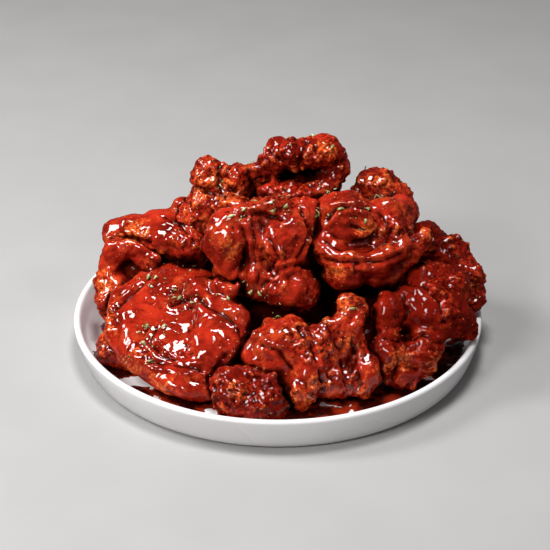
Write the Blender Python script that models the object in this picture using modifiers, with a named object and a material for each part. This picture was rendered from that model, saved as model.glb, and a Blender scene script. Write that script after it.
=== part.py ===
"""Chicken wings serving: glazed fried chicken pieces heaped on one round white plate.

The origin is the centre of the plate's underside, +Z is up and the serving faces -Y.
Sizes are written in millimetres and MM turns them into metres.
"""

import math
import random

import bmesh
import bpy
from mathutils import Euler, Matrix, Vector, noise
from mathutils.bvhtree import BVHTree

MM = 0.001

# Plate
PLATE_RADIUS = 120.0
PLATE_HEIGHT = 20.8
FOOT_RADIUS = 112.5
FLOOR_RADIUS = 106.0
FLOOR_HEIGHT = 5.0
RIM_WIDTH = 4.0
PLATE_STEPS = 48

# Chicken pieces
GRAIN = 1.8
GAP = 0.35
BIG_RELIEF = 2.6
KNOB_RELIEF = 2.4
KNOB_SPACING = 9.0
FINE_RELIEF = 0.9
NODULES = 30
NODULE_SIZE = (2.6, 5.6)
NODULE_SUNK = 0.35

# Herb leaves
LEAF_SIZE = (2.5, 1.0, 0.75)
LEAF_CLEARANCE = 2.2
SPRINKLE_PITCH = 29.0
BACK_LEAVES = 12
SEED = 7

# Colours
PLATE_WHITE = (0.86, 0.85, 0.84, 1.0)
GLAZE_RED = (0.42, 0.035, 0.012, 1.0)

# Each lobe is a centre, its half sizes and its tilt about X, Y and Z in degrees.
# Each limb is a row of balls, given as centre and radius, and the balls between are worked out.
# The pieces stand in the order in which they are laid, and each later one is shaped to those below.
PIECES = {
    "core_low": {
        "lobes": [
            ((-4, -14, 21), (34, 26, 15), (0, 4, 20)),
            ((18, -4, 30), (17, 16, 13), (0, 0, 0)),
            ((-26, -20, 27), (15, 14, 12), (0, 0, 0)),
            ((2, 12, 27), (20, 13, 14), (0, 0, 0)),
            ((22, 9, 41), (12, 12, 12), (0, 0, 0)),
        ],
        "faces": 160,
    },
    "core_right": {
        "lobes": [
            ((50, -24, 20), (22, 24, 14), (0, 0, -20)),
            ((60, -4, 34), (16, 17, 15), (0, 0, 0)),
            ((40, -14, 32), (13, 13, 11), (0, 0, 0)),
        ],
        "faces": 160,
    },
    "back_left_low": {
        "lobes": [
            ((-54, 46, 22), (29, 22, 15), (0, -6, 40)),
            ((-70, 32, 29), (14, 13, 12), (0, 0, 0)),
            ((-45, 64, 27), (16, 14, 12), (0, 0, 0)),
            ((-38, 48, 33), (15, 15, 11), (0, 0, 0)),
            ((-64, 54, 30), (11, 11, 10), (0, 0, 0)),
        ],
        "limbs": [[(-74, 48, 24, 9), (-83, 40, 20, 7), (-90, 32, 15, 6)]],
        "faces": 340,
    },
    "back_right_low": {
        "lobes": [
            ((56, 48, 21), (28, 21, 15), (0, 5, -38)),
            ((42, 62, 27), (15, 13, 12), (0, 0, 0)),
            ((70, 38, 30), (14, 13, 12), (0, 0, 0)),
            ((54, 46, 33), (15, 14, 11), (0, 0, 0)),
            ((66, 56, 24), (11, 10, 9), (0, 0, 0)),
        ],
        "limbs": [[(76, 48, 22, 8), (84, 42, 17, 6.5), (86, 34, 13, 5.5)]],
        "faces": 340,
    },
    "back_centre_low": {
        "lobes": [
            ((2, 72, 21), (30, 17, 14), (8, 0, 4)),
            ((-16, 76, 28), (13, 12, 11), (0, 0, 0)),
            ((8, 80, 27), (13, 11, 12), (0, 0, 0)),
            ((22, 70, 28), (12, 12, 10), (0, 0, 0)),
            ((0, 60, 31), (16, 13, 12), (0, 0, 0)),
        ],
        "limbs": [[(-22, 82, 20, 9), (-28, 88, 16, 7), (-31, 92, 13, 6)]],
        "faces": 340,
    },
    "nub_left": {
        "lobes": [
            ((-96, -34, 13), (8, 9, 8), (0, 0, 20)),
            ((-87, -38, 12), (9, 9, 7), (0, 0, 0)),
        ],
        "faces": 140,
    },
    "nugget_front": {
        "lobes": [
            ((-24, -84, 15), (12, 11, 10), (0, 0, 10)),
            ((-9, -87, 14), (11, 10, 8), (0, 0, 0)),
            ((-16, -77, 19), (11, 9, 8), (0, 10, 0)),
            ((-29, -79, 20), (7, 8, 8), (0, 0, 0)),
            ((-16, -66, 12), (13, 11, 7), (0, 0, 0)),
            ((-4, -83, 20), (6, 6, 6), (0, 0, 0)),
        ],
        "limbs": [[(-22, -92, 12, 6), (-10, -95, 10, 5.5), (0, -92, 10, 5)]],
        "knobs": 1.3,
        "faces": 440,
    },
    "left_curl": {
        "lobes": [
            ((-91, 4, 22), (13, 17, 16), (0, 0, 0)),
            ((-97, 0, 34), (9, 12, 10), (0, 0, 0)),
            ((-101, -6, 30), (6, 7, 8), (0, 0, 0)),
            ((-86, 20, 43), (14, 9, 13), (0, 0, 0)),
            ((-84, 15, 38), (12, 8, 9), (0, 0, 0)),
        ],
        "limbs": [
            [
                (-100, 6, 42, 6.5),
                (-98, 8, 49, 6),
                (-92, 10, 55, 7),
                (-83, 10, 56, 7.5),
                (-74, 7, 51, 7),
                (-72, -2, 43, 7),
            ],
        ],
        "knobs": 0.7,
        "faces": 440,
    },
    "right_back": {
        "lobes": [
            ((88, 20, 24), (18, 21, 18), (0, -8, 0)),
            ((88, 20, 54), (12, 12, 13), (0, 0, 0)),
            ((101, 16, 46), (13, 13, 13), (0, 0, 0)),
            ((110, 8, 36), (12, 13, 13), (0, 0, 0)),
            ((116, -2, 29), (7, 10, 7), (0, 0, 0)),
            ((92, 34, 36), (12, 12, 12), (0, 0, 0)),
        ],
        "knobs": 1.1,
        "faces": 430,
    },
    "front_centre": {
        "lobes": [
            ((14, -62, 17), (25, 18, 11), (0, 0, 0)),
            ((3, -60, 31), (18, 17, 17), (0, 0, 0)),
            ((27, -62, 30), (13, 13, 16), (0, 0, 0)),
            ((33, -72, 15), (12, 11, 9), (0, 0, 0)),
            ((24, -68, 24), (9, 10, 10), (0, 0, 0)),
            ((-9, -66, 27), (11, 11, 10), (0, 0, 0)),
        ],
        "limbs": [
            [(29, -60, 34, 10), (38, -57, 43, 9), (44, -52, 50, 7.5), (38, -50, 56, 6), (33, -52, 55, 4)],
            [(12, -70, 33, 9), (17, -76, 29, 9.5), (14, -83, 19, 8.5), (13, -87, 9, 3.6)],
            [(44, -58, 34, 6), (49, -67, 24, 6.5), (50, -71, 18, 6.5), (46, -74, 11, 5.5)],
        ],
        "knobs": 0.8,
        "faces": 720,
    },
    "front_right": {
        "lobes": [
            ((75, -36, 20), (20, 21, 14), (0, 0, 0)),
            ((86, -38, 41), (24, 19, 17), (0, 8, 0)),
            ((92, -24, 50), (19, 16, 12), (0, 14, 0)),
            ((104, -34, 32), (12, 10, 9), (0, 20, 0)),
            ((62, -48, 44), (9, 11, 14), (0, 0, 0)),
            ((61, -60, 26), (10, 11, 14), (0, 0, 0)),
            ((82, -58, 29), (12, 11, 10), (0, 0, 0)),
            ((70, -61, 16), (12, 10, 9), (0, 0, 0)),
        ],
        "limbs": [
            [(104, -36, 29, 8), (109, -38, 28, 6), (113, -38, 27, 4)],
            [(81, -60, 26, 8), (84, -64, 20, 5.5)],
        ],
        "knobs": 1.0,
        "faces": 660,
    },
    "front_left": {
        "lobes": [
            ((-61, -38, 31), (31, 34, 8), (20, 3, 0)),
            ((-57, -11, 42), (22, 14, 9), (16, 0, 0)),
            ((-73, -16, 39), (15, 14, 8), (16, -8, 0)),
            ((-38, -24, 44), (14, 14, 9), (12, 10, 0)),
            ((-85, -30, 30), (14, 22, 7), (18, -9, 0)),
            ((-33, -40, 38), (14, 19, 9), (16, 8, 0)),
            ((-37, -56, 29), (13, 14, 10), (20, 6, 0)),
            ((-45, -64, 19), (14, 13, 9), (16, 4, 0)),
            ((-60, -40, 19), (26, 22, 12), (8, 0, 0)),
        ],
        "limbs": [
            [
                (-95, -37, 27, 5.5),
                (-86, -50, 20, 6),
                (-68, -66, 15, 6.5),
                (-50, -77, 13, 6.5),
                (-40, -79, 12, 5),
                (-34, -80, 12, 3),
            ],
            [(-96, -34, 30, 4), (-92, -16, 38, 4.5), (-76, -2, 44, 5), (-58, 2, 47, 5)],
            [(-86, -40, 34, 2.5), (-70, -55, 28, 2.5), (-54, -66, 24, 2.5)],
            [(-48, -22, 52, 3), (-36, -27, 52, 4), (-27, -34, 52, 4.5), (-23, -35, 57, 3)],
            [(-24, -46, 46, 4), (-19, -47, 42, 4), (-22, -55, 34, 5), (-30, -66, 24, 5)],
        ],
        "knobs": 0.3,
        "faces": 560,
    },
    "back_mid_left": {
        "lobes": [
            ((-34, 44, 52), (24, 18, 14), (0, 8, 20)),
            ((-48, 34, 58), (12, 12, 10), (0, 0, 0)),
            ((-22, 54, 56), (13, 12, 11), (0, 0, 0)),
            ((-40, 56, 46), (12, 11, 10), (0, 0, 0)),
        ],
        "limbs": [[(-50, 44, 48, 8), (-60, 40, 42, 7), (-66, 34, 42, 6)]],
        "faces": 330,
    },
    "back_mid_right": {
        "lobes": [
            ((38, 42, 54), (24, 18, 14), (0, -8, -24)),
            ((52, 34, 60), (12, 12, 10), (0, 0, 0)),
            ((24, 54, 54), (13, 12, 11), (0, 0, 0)),
            ((44, 54, 48), (12, 11, 10), (0, 0, 0)),
        ],
        "limbs": [[(54, 46, 50, 8), (64, 40, 46, 6.5), (70, 30, 46, 6)]],
        "faces": 330,
    },
    "centre_drape": {
        "lobes": [
            ((-9, -8, 74), (25, 17, 21), (0, 6, 0)),
            ((14, -7, 86), (12, 13, 10), (0, 0, 0)),
            ((5, -19, 75), (15, 16, 19), (0, 0, 0)),
            ((-29, -18, 76), (13, 15, 17), (0, 0, 0)),
            ((-28, -22, 60), (9, 11, 12), (0, 0, 0)),
            ((8, -31, 54), (17, 15, 13), (0, 18, 0)),
            ((-10, -24, 55), (14, 13, 14), (0, 0, 0)),
        ],
        "limbs": [
            [(-16, -22, 90, 4), (-13, -30, 78, 3.6), (-12, -34, 66, 3.6), (-11, -36, 56, 4)],
            [(-3, -26, 88, 4), (1, -34, 76, 4), (3, -36, 66, 4)],
            [(-36, -24, 84, 4), (-32, -32, 72, 4), (-26, -33, 62, 4)],
            [(-26, -16, 91, 5), (-14, -18, 96, 4.5), (2, -14, 98, 5)],
        ],
        "knobs": 0.5,
        "faces": 610,
    },
    "left_drumette": {
        "lobes": [
            ((-94, 22, 58), (9, 9, 8), (0, 0, 0)),
            ((-82, 22, 61), (14, 11, 10), (0, 4, 0)),
            ((-66, 17, 61), (18, 15, 13), (0, 0, 0)),
            ((-53, 10, 60), (12, 13, 12), (0, 0, 0)),
        ],
        "limbs": [
            [(-73, 20, 73, 3.2), (-66, 17, 73, 3), (-57, 13, 71, 3)],
            [(-61, 24, 72, 4.5), (-56, 24, 77, 3.2)],
        ],
        "knobs": 0.7,
        "faces": 440,
    },
    "upper_left": {
        "lobes": [
            ((-39, 25, 92), (10, 10, 12), (0, 0, 0)),
            ((-23, 25, 92), (10, 10, 11), (0, 0, 0)),
            ((-35, 20, 79), (18, 15, 14), (0, 0, 0)),
            ((-48, 15, 71), (11, 10, 11), (0, 0, 0)),
            ((-26, 8, 80), (11, 10, 9), (0, 0, 0)),
        ],
        "limbs": [[(-46, 25, 101, 2.6), (-41, 25, 104, 2.6), (-34, 25, 102.5, 2.4)]],
        "knobs": 1.1,
        "faces": 440,
    },
    "right_swirl": {
        "lobes": [
            ((38, -8, 84), (18, 18, 16), (0, 0, 0)),
            ((62, -6, 78), (15, 16, 16), (0, 0, 0)),
            ((70, 5, 81), (10, 11, 12), (0, 0, 0)),
            ((39, -26, 61), (14, 13, 9), (0, 0, 0)),
            ((59, -20, 56), (15, 13, 8), (0, 0, 0)),
            ((48, -8, 66), (22, 18, 14), (0, 0, 0)),
        ],
        "limbs": [
            [
                (23, -22, 76, 6),
                (28, -29, 72, 6.5),
                (38, -33, 71, 6.5),
                (55, -31, 69, 6.5),
                (69, -22, 73, 6.5),
            ],
            [(68, -16, 58, 8), (77, -19, 68, 7), (82, -18, 76, 6), (84, -18, 81, 4.5)],
            [(30, -16, 97, 4), (44, -20, 97, 4.5), (52, -22, 90, 4), (48, -26, 84, 4)],
        ],
        "knobs": 0.8,
        "faces": 630,
    },
    "back_upper": {
        "lobes": [
            ((4, 48, 74), (24, 17, 14), (-14, 0, 0)),
            ((-14, 42, 84), (12, 12, 10), (0, 0, 0)),
            ((18, 40, 86), (13, 12, 10), (0, 0, 0)),
            ((8, 60, 66), (13, 12, 11), (0, 0, 0)),
            ((-12, 58, 66), (11, 11, 10), (0, 0, 0)),
        ],
        "limbs": [[(20, 56, 68, 7), (29, 56, 72, 6), (33, 52, 78, 5)]],
        "faces": 340,
    },
    "right_knob": {
        "lobes": [
            ((59, 26, 89), (13, 12, 9), (0, 6, 0)),
            ((71, 22, 83), (7, 9, 8), (0, 0, 0)),
            ((63, 19, 82), (10, 9, 6), (0, 0, 0)),
            ((58, 28, 76), (13, 12, 10), (0, 0, 0)),
            ((51, 25, 84), (8, 9, 7), (0, 0, 0)),
        ],
        "knobs": 1.3,
        "faces": 360,
    },
    "top": {
        "lobes": [
            ((5, 20, 113), (10, 10, 9), (0, 0, 0)),
            ((28, 20, 114), (10, 10, 9), (0, 0, 0)),
            ((34, 20, 102), (7, 10, 11), (0, 0, 0)),
            ((29, 12, 94), (10, 10, 8), (0, 0, 0)),
            ((13, 9, 92), (15, 11, 6), (0, 0, 0)),
            ((-2, 12, 91), (10, 10, 6), (0, 0, 0)),
            ((14, 31, 101), (20, 9, 14), (0, 0, 0)),
        ],
        "limbs": [[(-10, 17, 105, 5.5), (0, 19, 109, 7), (16, 19, 112, 8.5), (28, 19, 113, 9)]],
        "knobs": 1.1,
        "faces": 600,
    },
}

# Where leaves fall on the front: distance across from the middle and distance up the slope of
# the heap, with the leaf's turn in degrees.
FRONT_LEAVES = (
    (-26, 33, 10), (-19, 37, 40), (-13, 42, -20), (-3, 37, 30), (4, 39, 60), (22, 35, -40),
    (35, 37, 15), (49, 30, 70), (50, 38, 25), (-50, 5, 15), (-56, -13, 50), (-48, -15, -30),
    (-59, -13, 20), (-73, -29, 60), (-78, -32, 20), (-75, -38, -50), (-71, -47, 10),
    (-64, -29, 35), (-75, -1, 80), (-70, -2, 30), (-28, -13, -60), (-15, -9, 40),
    (-10, -10, -70), (41, -18, 10), (0, -24, 30),
)


def wipe_scene():
    """Empties the scene, so that it holds only this serving."""
    for obj in list(bpy.data.objects):
        bpy.data.objects.remove(obj, do_unlink=True)


def new_collection(name, is_helper=False):
    """A collection of the scene, left out of renders where it holds helpers."""
    made = bpy.data.collections.new(name)
    made.hide_render = is_helper
    bpy.context.scene.collection.children.link(made)
    return made


def new_material(name, colour, roughness):
    """A plain glossy surface."""
    made = bpy.data.materials.new(name)
    made.use_nodes = True
    shader = made.node_tree.nodes["Principled BSDF"]
    shader.inputs["Base Color"].default_value = colour
    shader.inputs["Roughness"].default_value = roughness
    shader.inputs["Metallic"].default_value = 0.0
    made.diffuse_color = colour
    return made


def object_from(bm, name, collection):
    """An object with this mesh in it."""
    mesh = bpy.data.meshes.new(name)
    bm.to_mesh(mesh)
    bm.free()
    obj = bpy.data.objects.new(name, mesh)
    collection.objects.link(obj)
    return obj


def bake(obj):
    """Turns the object's modifiers into plain mesh."""
    graph = bpy.context.evaluated_depsgraph_get()
    mesh = bpy.data.meshes.new_from_object(obj.evaluated_get(graph))
    old = obj.data
    obj.modifiers.clear()
    obj.data = mesh
    bpy.data.meshes.remove(old)


def discard(obj):
    """Removes a helper and its mesh."""
    mesh = obj.data
    bpy.data.objects.remove(obj, do_unlink=True)
    bpy.data.meshes.remove(mesh)


def add_ball(bm, centre, half_sizes, tilt=(0, 0, 0), detail=3):
    """Adds one stretched ball."""
    turn = Euler([math.radians(angle) for angle in tilt]).to_matrix().to_4x4()
    stretch = Matrix.Diagonal([*(size * MM for size in half_sizes), 1.0])
    place = Matrix.Translation(Vector(centre) * MM) @ turn @ stretch
    bmesh.ops.create_icosphere(bm, subdivisions=detail, radius=1.0, matrix=place)


def add_limb(bm, stations):
    """Adds a row of balls through the stations, close enough to read as one rounded limb."""
    for start, end in zip(stations, stations[1:]):
        a = Vector(start)
        b = Vector(end)
        length = (b - a).xyz.length
        count = max(1, math.ceil(length / (0.4 * min(start[3], end[3]))))
        for step in range(count + 1):
            x, y, z, radius = a.lerp(b, step / count)
            add_ball(bm, (x, y, z), (radius, radius, radius), detail=2)


def crust_height(point, offset, knobs):
    """How far the crust stands out at a point, in millimetres: broad swells, round knobs and fine bumps."""
    swell = noise.noise((point / 20.0) + offset)
    near = noise.voronoi((point / KNOB_SPACING) + offset)[0][0]
    knob = 0.55 - min(near, 1.1)
    fine = noise.noise((point / 5.0) - offset)
    return BIG_RELIEF * swell + knobs * KNOB_RELIEF * knob + FINE_RELIEF * fine * (0.4 + 0.6 * knobs)


def keep_largest_body(obj):
    """Drops every crumb that a cut has parted from the main body."""
    bm = bmesh.new()
    bm.from_mesh(obj.data)
    bmesh.ops.remove_doubles(bm, verts=bm.verts, dist=0.00002)
    bmesh.ops.dissolve_degenerate(bm, edges=bm.edges, dist=0.00002)
    bmesh.ops.triangulate(bm, faces=bm.faces)
    waiting = set(bm.verts)
    bodies = []
    while waiting:
        body = {waiting.pop()}
        edge_of_body = list(body)
        while edge_of_body:
            vert = edge_of_body.pop()
            for edge in vert.link_edges:
                other = edge.other_vert(vert)
                if other in waiting:
                    waiting.discard(other)
                    body.add(other)
                    edge_of_body.append(other)
        bodies.append(body)
    bodies.sort(key=len)
    spare = [vert for body in bodies[:-1] for vert in body]
    bmesh.ops.delete(bm, geom=spare, context="VERTS")
    bm.to_mesh(obj.data)
    bm.free()


def shape_piece(name, plan, order, collection):
    """One piece of chicken: its lobes and limbs melted together, crusted, then faceted."""
    bm = bmesh.new()
    for centre, half_sizes, tilt in plan["lobes"]:
        add_ball(bm, centre, half_sizes, tilt)
    for stations in plan.get("limbs", ()):
        add_limb(bm, stations)
    obj = object_from(bm, name, collection)
    melt = obj.modifiers.new("Melt", "REMESH")
    melt.mode = "VOXEL"
    melt.voxel_size = GRAIN * MM
    soften = obj.modifiers.new("Soften", "SMOOTH")
    soften.factor = 0.5
    soften.iterations = 6
    bake(obj)
    offset = Vector((order * 3.7 + SEED, order * 1.3, order * 2.9))
    knobs = plan.get("knobs", 1.0)
    bm = bmesh.new()
    bm.from_mesh(obj.data)
    bm.normal_update()
    draw = random.Random(SEED + order)
    nodules = []
    for vert in draw.sample(list(bm.verts), round(NODULES * knobs)):
        radius = draw.uniform(*NODULE_SIZE)
        nodules.append((vert.co / MM - vert.normal * radius * NODULE_SUNK, radius))
    moves = [vert.normal * crust_height(vert.co / MM, offset, knobs) * MM for vert in bm.verts]
    for vert, move in zip(bm.verts, moves):
        vert.co += move
    for centre, radius in nodules:
        add_ball(bm, centre, (radius, radius, radius), detail=2)
    bm.to_mesh(obj.data)
    bm.free()
    again = obj.modifiers.new("Close", "REMESH")
    again.mode = "VOXEL"
    again.voxel_size = GRAIN * MM
    settle = obj.modifiers.new("Settle", "SMOOTH")
    settle.factor = 0.5
    settle.iterations = 2
    facet = obj.modifiers.new("Facet", "DECIMATE")
    facet.ratio = 1.0
    bake_target(obj, facet, plan["faces"])
    return obj


def bake_target(obj, facet, faces):
    """Bakes a Decimate modifier at the ratio that leaves about this many triangles."""
    facet.ratio = 1.0
    graph = bpy.context.evaluated_depsgraph_get()
    mesh = obj.evaluated_get(graph).to_mesh()
    mesh.calc_loop_triangles()
    facet.ratio = min(1.0, faces / len(mesh.loop_triangles))
    obj.evaluated_get(graph).to_mesh_clear()
    bpy.context.view_layer.update()
    bake(obj)
    keep_largest_body(obj)


def grown_copy(obj, collection):
    """The same body with every face moved out by the gap that is left between pieces."""
    bm = bmesh.new()
    bm.from_mesh(obj.data)
    bm.normal_update()
    moves = [vert.normal * min(2.0, vert.calc_shell_factor()) * GAP * MM for vert in bm.verts]
    for vert, move in zip(bm.verts, moves):
        vert.co += move
    copy = object_from(bm, obj.name + "_cutter", collection)
    copy.display_type = "WIRE"
    copy.hide_render = True
    return copy


def box_of(obj):
    """The lowest and highest corner of a mesh."""
    points = [vert.co for vert in obj.data.vertices]
    low = Vector([min(point[axis] for point in points) for axis in range(3)])
    high = Vector([max(point[axis] for point in points) for axis in range(3)])
    return low, high


def boxes_meet(a, b):
    return all(a[0][axis] < b[1][axis] and b[0][axis] < a[1][axis] for axis in range(3))


def shape_to_those_below(obj, cutters):
    """Takes away what would sink into the pieces already laid."""
    box = box_of(obj)
    for cutter in cutters:
        if not boxes_meet(box, box_of(cutter)):
            continue
        cut = obj.modifiers.new("Rest on " + cutter.name, "BOOLEAN")
        cut.operation = "DIFFERENCE"
        cut.solver = "MANIFOLD"
        cut.object = cutter
    bake(obj)
    keep_largest_body(obj)


def plate_profile(grow=0.0):
    """The plate's outline from the middle of its floor, over the rim and down to its underside."""
    top = PLATE_HEIGHT
    inner = PLATE_RADIUS - RIM_WIDTH
    outline = [
        (0.0, FLOOR_HEIGHT),
        (FLOOR_RADIUS * 0.6, FLOOR_HEIGHT),
        (FLOOR_RADIUS, FLOOR_HEIGHT),
        (FLOOR_RADIUS + 3.2, FLOOR_HEIGHT + 0.5),
        (inner - 4.0, FLOOR_HEIGHT + 2.4),
        (inner - 2.2, FLOOR_HEIGHT + 5.2),
        (inner - 0.6, top - 3.5),
        (inner + 0.1, top - 1.1),
        (inner + 1.2, top - 0.2),
        (inner + 2.3, top),
        (PLATE_RADIUS - 0.5, top - 0.6),
        (PLATE_RADIUS, top - 2.0),
        (PLATE_RADIUS - 1.3, top * 0.6),
        (FOOT_RADIUS + 3.2, 3.2),
        (FOOT_RADIUS + 1.7, 1.0),
        (FOOT_RADIUS, 0.0),
        (0.0, 0.0),
    ]
    if not grow:
        return outline
    grown = [(0.0, FLOOR_HEIGHT + grow)]
    for before, here, after in zip(outline, outline[1:], outline[2:]):
        along = (Vector(after) - Vector(before)).normalized()
        grown.append((here[0] + along[1] * grow * 1.1, here[1] - along[0] * grow * 1.1))
    # The outline runs outwards on the floor and back on the underside, so its left side is outside.
    grown = [(2 * here[0] - moved[0], 2 * here[1] - moved[1]) for here, moved in zip(outline, grown)]
    grown[0] = (0.0, FLOOR_HEIGHT + grow)
    grown.append((0.0, -grow))
    return grown


def turn_plate(name, collection, grow=0.0):
    """The plate, or a copy grown on all sides, turned from its outline."""
    bm = bmesh.new()
    verts = [bm.verts.new((x * MM, 0.0, z * MM)) for x, z in plate_profile(grow)]
    for a, b in zip(verts, verts[1:]):
        bm.edges.new((a, b))
    obj = object_from(bm, name, collection)
    screw = obj.modifiers.new("Turn", "SCREW")
    screw.axis = "Z"
    screw.angle = math.tau
    screw.steps = PLATE_STEPS
    screw.render_steps = PLATE_STEPS
    screw.use_merge_vertices = True
    screw.merge_threshold = 0.00005
    return obj


def leaf_places(pieces):
    """Where each leaf lies: the piece it falls on, the point, the way out of the surface and its turn."""
    trees = {piece.name: tree_of(piece) for piece in pieces}
    pitch = math.radians(SPRINKLE_PITCH)
    up_slope = Vector((0.0, math.sin(pitch), math.cos(pitch)))
    towards = Vector((0.0, math.cos(pitch), -math.sin(pitch)))
    middle = Vector((0.0, 0.0, 43.0)) * MM
    falls = []
    for across, up, turn in FRONT_LEAVES:
        start = middle + Vector((across * MM, 0.0, 0.0)) + up_slope * up * MM - towards
        falls.append((start, towards, turn))
    draw = random.Random(SEED)
    for _ in range(BACK_LEAVES):
        angle = math.radians(draw.uniform(-10.0, 190.0))
        reach = draw.uniform(25.0, 88.0)
        start = Vector((reach * math.cos(angle) * MM, reach * math.sin(angle) * MM, 0.5))
        falls.append((start, Vector((0.0, 0.0, -1.0)), draw.uniform(0.0, 180.0)))
    places = []
    for start, direction, turn in falls:
        hits = []
        for name, tree in trees.items():
            point, normal, _, distance = tree.ray_cast(start, direction)
            if point is not None:
                hits.append((distance, name, point, normal))
        if not hits:
            continue
        _, name, point, normal = min(hits, key=lambda hit: hit[0])
        others = [tree.find_nearest(point)[3] for other, tree in trees.items() if other != name]
        if min(others) > LEAF_CLEARANCE * MM:
            places.append((name, point, normal, turn))
    return places


def tree_of(obj):
    bm = bmesh.new()
    bm.from_mesh(obj.data)
    tree = BVHTree.FromBMesh(bm)
    bm.free()
    return tree


def add_leaves(pieces, helpers):
    """Joins the herb leaves to the pieces they lie on."""
    places = leaf_places(pieces)
    for piece in pieces:
        mine = [place for place in places if place[0] == piece.name]
        if not mine:
            continue
        leaves = bpy.data.collections.new(piece.name + "_leaves")
        helpers.children.link(leaves)
        for number, (_, point, normal, turn) in enumerate(mine):
            bm = bmesh.new()
            across = normal.orthogonal().normalized()
            across.rotate(Matrix.Rotation(math.radians(turn), 3, normal))
            side = normal.cross(across)
            frame = Matrix((across, side, normal)).transposed().to_4x4()
            stretch = Matrix.Diagonal([*(size * MM for size in LEAF_SIZE), 1.0])
            place = Matrix.Translation(point + normal * 0.2 * MM) @ frame @ stretch
            bmesh.ops.create_uvsphere(bm, u_segments=6, v_segments=2, radius=1.0, matrix=place)
            leaf = object_from(bm, f"{piece.name}_leaf_{number}", leaves)
            leaf.hide_render = True
        join = piece.modifiers.new("Leaves", "BOOLEAN")
        join.operation = "UNION"
        join.solver = "MANIFOLD"
        join.operand_type = "COLLECTION"
        join.collection = leaves
        bake(piece)
        keep_largest_body(piece)
        for leaf in list(leaves.objects):
            discard(leaf)
        bpy.data.collections.remove(leaves)


def build():
    wipe_scene()
    serving = new_collection("chicken_wings_serving")
    helpers = new_collection("helpers", is_helper=True)
    white = new_material("plate_white", PLATE_WHITE, 0.25)
    plate = turn_plate("plate", serving)
    plate.data.materials.append(white)
    for polygon in plate.data.polygons:
        polygon.use_smooth = True
    plate_cutter = turn_plate("plate_cutter", helpers, GAP)
    plate_cutter.display_type = "WIRE"
    plate_cutter.hide_render = True
    bake(plate_cutter)
    cutters = [plate_cutter]
    pieces = []
    for order, (name, plan) in enumerate(PIECES.items(), start=1):
        piece = shape_piece(name, plan, order, serving)
        shape_to_those_below(piece, cutters)
        cutters.append(grown_copy(piece, helpers))
        pieces.append(piece)
    add_leaves(pieces, helpers)
    for cutter in cutters:
        discard(cutter)
    for piece in pieces:
        piece.data.materials.clear()
        piece.data.materials.append(new_material(piece.name + "_glaze", GLAZE_RED, 0.3))
        piece.data.shade_smooth()


build()
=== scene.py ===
import math
import random

import bmesh
import bpy
import numpy as np
from mathutils import Matrix, Vector
from mathutils.bvhtree import BVHTree


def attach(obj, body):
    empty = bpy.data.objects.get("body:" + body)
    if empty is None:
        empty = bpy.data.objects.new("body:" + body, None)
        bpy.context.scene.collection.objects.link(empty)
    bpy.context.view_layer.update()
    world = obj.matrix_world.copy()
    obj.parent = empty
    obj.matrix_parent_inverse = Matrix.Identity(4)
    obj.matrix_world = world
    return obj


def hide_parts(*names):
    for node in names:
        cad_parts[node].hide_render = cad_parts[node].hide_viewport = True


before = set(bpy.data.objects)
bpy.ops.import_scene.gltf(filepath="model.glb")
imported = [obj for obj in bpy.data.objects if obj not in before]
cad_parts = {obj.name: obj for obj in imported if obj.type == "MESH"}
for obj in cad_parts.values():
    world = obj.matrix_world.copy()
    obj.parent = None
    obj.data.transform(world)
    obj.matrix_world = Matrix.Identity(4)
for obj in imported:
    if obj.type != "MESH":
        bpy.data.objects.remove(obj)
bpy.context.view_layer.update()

MM = 0.001

# Camera: looks along +Y and down, at a point a little left of the plate's middle.
VIEW_PITCH = 29.17
VIEW_DISTANCE = 1.0
VIEW_LENS = 112.0
VIEW_FILM = 36.0
VIEW_TARGET = (-1.6, 0.0, 43.2)

# Chicken: grain of the mesh in mm, and how far it is rounded before the crust is laid on.
GRAIN = 0.75
HIDDEN_GRAIN = 1.3
ROUNDING = 14
SWELL_BACK = 0.35
GLAZE_EVENING = (8, 4)

# How each piece looks: share of knobbly crust, size and height of its knobs in mm, height of the
# folds in its smooth glaze in mm, the way the folds run in degrees, seen from the front, and how
# much painted shade darkens its glaze, for pieces that lie in shadow.
PIECE_LOOKS = {
    "core_low": (0.40, 6.0, 1.2, 0.8, 20, 1.6),
    "core_right": (0.40, 6.0, 1.2, 0.8, -20, 1.6),
    "back_left_low": (0.55, 6.5, 1.5, 0.9, -30, 0.2),
    "back_right_low": (0.50, 6.0, 1.5, 0.9, 40, 0.3),
    "back_centre_low": (0.60, 6.5, 1.5, 0.9, 10, 0.2),
    "nub_left": (0.55, 5.0, 1.1, 0.6, 0, 0.5),
    "nugget_front": (0.80, 5.2, 1.6, 0.9, 30, 0.9),
    "left_curl": (0.45, 5.5, 1.3, 1.0, 30, 0.1),
    "right_back": (0.70, 5.6, 1.5, 1.0, -50, 0.8),
    "front_centre": (0.55, 5.6, 1.4, 1.2, 70, 0.1),
    "front_right": (0.52, 5.8, 1.5, 1.2, -30, 1.0),
    "front_left": (0.20, 5.0, 1.0, 0.9, -38, 0.3),
    "back_mid_left": (0.60, 6.2, 1.6, 0.9, 20, 0.2),
    "back_mid_right": (0.55, 6.0, 1.6, 0.9, -30, 0.3),
    "centre_drape": (0.42, 5.4, 1.3, 1.2, 82, 0.2),
    "left_drumette": (0.45, 5.4, 1.3, 1.0, 5, 0.0),
    "upper_left": (0.75, 5.6, 1.6, 0.9, 60, 0.0),
    "right_swirl": (0.52, 5.8, 1.4, 1.2, -12, 0.3),
    "back_upper": (0.55, 6.4, 1.6, 1.0, 0, 0.2),
    "right_knob": (0.80, 5.4, 1.6, 0.8, 0, 0.2),
    "top": (0.75, 5.6, 1.6, 0.9, 0, 0.7),
}
HIDDEN_PIECES = ("core_low", "core_right")

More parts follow.
